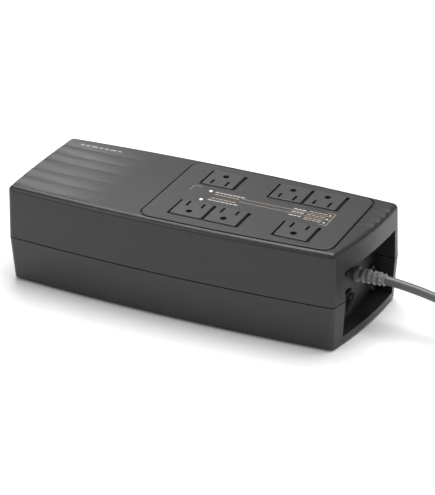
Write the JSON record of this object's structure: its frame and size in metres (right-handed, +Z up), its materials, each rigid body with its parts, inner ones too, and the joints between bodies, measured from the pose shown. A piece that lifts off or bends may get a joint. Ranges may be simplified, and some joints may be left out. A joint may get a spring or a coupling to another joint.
{
  "type": "uninterruptible power supply",
  "caption": "Slim desktop standby power supply: a long low two-shell case with a raised panel of grounded outlets on top and an end recess holding the mains cord, switch and sockets.",
  "frame": {"origin": "on the resting plane, under the middle of the case", "axes": "+X along the case towards the end with the cord, +Y towards the back row of outlets, +Z up"},
  "size_m": [0.5033, 0.1539, 0.085],
  "materials": {
    "case_plastic": "fine-textured moulded ABS, charcoal",
    "panel_plastic": "fine-textured moulded ABS, charcoal",
    "outlet_plastic": "smooth moulded plastic, charcoal",
    "dark_plastic": "black moulded plastic",
    "gloss_black": "polished black plastic",
    "brass": "rolled brass",
    "steel": "zinc-plated steel",
    "battery_plastic": "dark grey battery case",
    "light_lens": "milky clear lens",
    "board": "green solder mask",
    "cord_jacket": "satin grey cord jacket",
    "molded_rubber": "satin grey moulded vinyl",
    "foot_rubber": "matt black rubber",
    "core_steel": "varnished laminations",
    "copper_winding": "enamelled copper under tape",
    "aluminium": "extruded aluminium",
    "capacitor_sleeve": "shrink sleeve",
    "absorber_blue": "epoxy coating",
    "epoxy_black": "moulded epoxy",
    "socket_white": "white moulded plastic",
    "lead_red": "red wire insulation",
    "lead_black": "black wire insulation"
  },
  "bodies": {
    "case": {"alarm_buzzer": "epoxy_black", "battery_case": "battery_plastic", "battery_lead_minus": "lead_black", "battery_lead_plus": "lead_red", "battery_lid": "battery_plastic", "battery_light": "light_lens", "battery_terminals": "brass", "board_screws": "steel", "bottom_shell": "case_plastic", "breaker_body": "dark_plastic", "breaker_nut": "steel", "capacitors": "capacitor_sleeve", "case_screws": "steel", "contact_tray_back": "dark_plastic", "contact_tray_front": "dark_plastic", "cord_coil": "cord_jacket", "cord_run": "cord_jacket", "cord_tail": "cord_jacket", "end_panel": "dark_plastic", "end_panel_screws": "steel", "ground_strip_back": "brass", "ground_strip_front": "brass", "heat_sink": "aluminium", "hot_strip_back": "brass", "hot_strip_front": "brass", "light_board": "board", "line_light": "light_lens", "main_board": "board", "neutral_strip_back": "brass", "neutral_strip_front": "brass", "outlet_back_1": "outlet_plastic", "outlet_back_2": "outlet_plastic", "outlet_back_3": "outlet_plastic", "outlet_front_1": "outlet_plastic", "outlet_front_2": "outlet_plastic", "outlet_front_3": "outlet_plastic", "outlet_panel": "panel_plastic", "phone_jacks": "dark_plastic", "plug_blades": "brass", "plug_body": "molded_rubber", "plug_ground_pin": "brass", "power_transistors": "epoxy_black", "relays": "dark_plastic", "rubber_feet": "foot_rubber", "strain_relief": "molded_rubber", "surge_absorbers": "absorber_blue", "switch_housing": "dark_plastic", "top_cover": "case_plastic", "transformer_bracket": "steel", "transformer_core": "core_steel", "transformer_winding": "copper_winding", "usb_shell": "steel", "usb_tongue": "socket_white"},
    "rocker": {"switch_rocker": "gloss_black"},
    "reset_button": {"breaker_button": "gloss_black"},
    "door": {"battery_door": "case_plastic"}
  },
  "joints": [
    {"name": "power_rocker", "type": "hinge", "parent": "case", "child": "rocker", "pos_m": [0.132, -0.017, 0.0265], "axis": [0, 1, 0], "range_deg": [-20, 0]},
    {"name": "breaker_reset", "type": "slide", "parent": "case", "child": "reset_button", "axis": [1, 0, 0], "range_m": [0, 0.003]},
    {"name": "battery_door_slide", "type": "slide", "parent": "case", "child": "door", "axis": [-1, 0, 0], "range_m": [0, 0.12]}
  ]
}
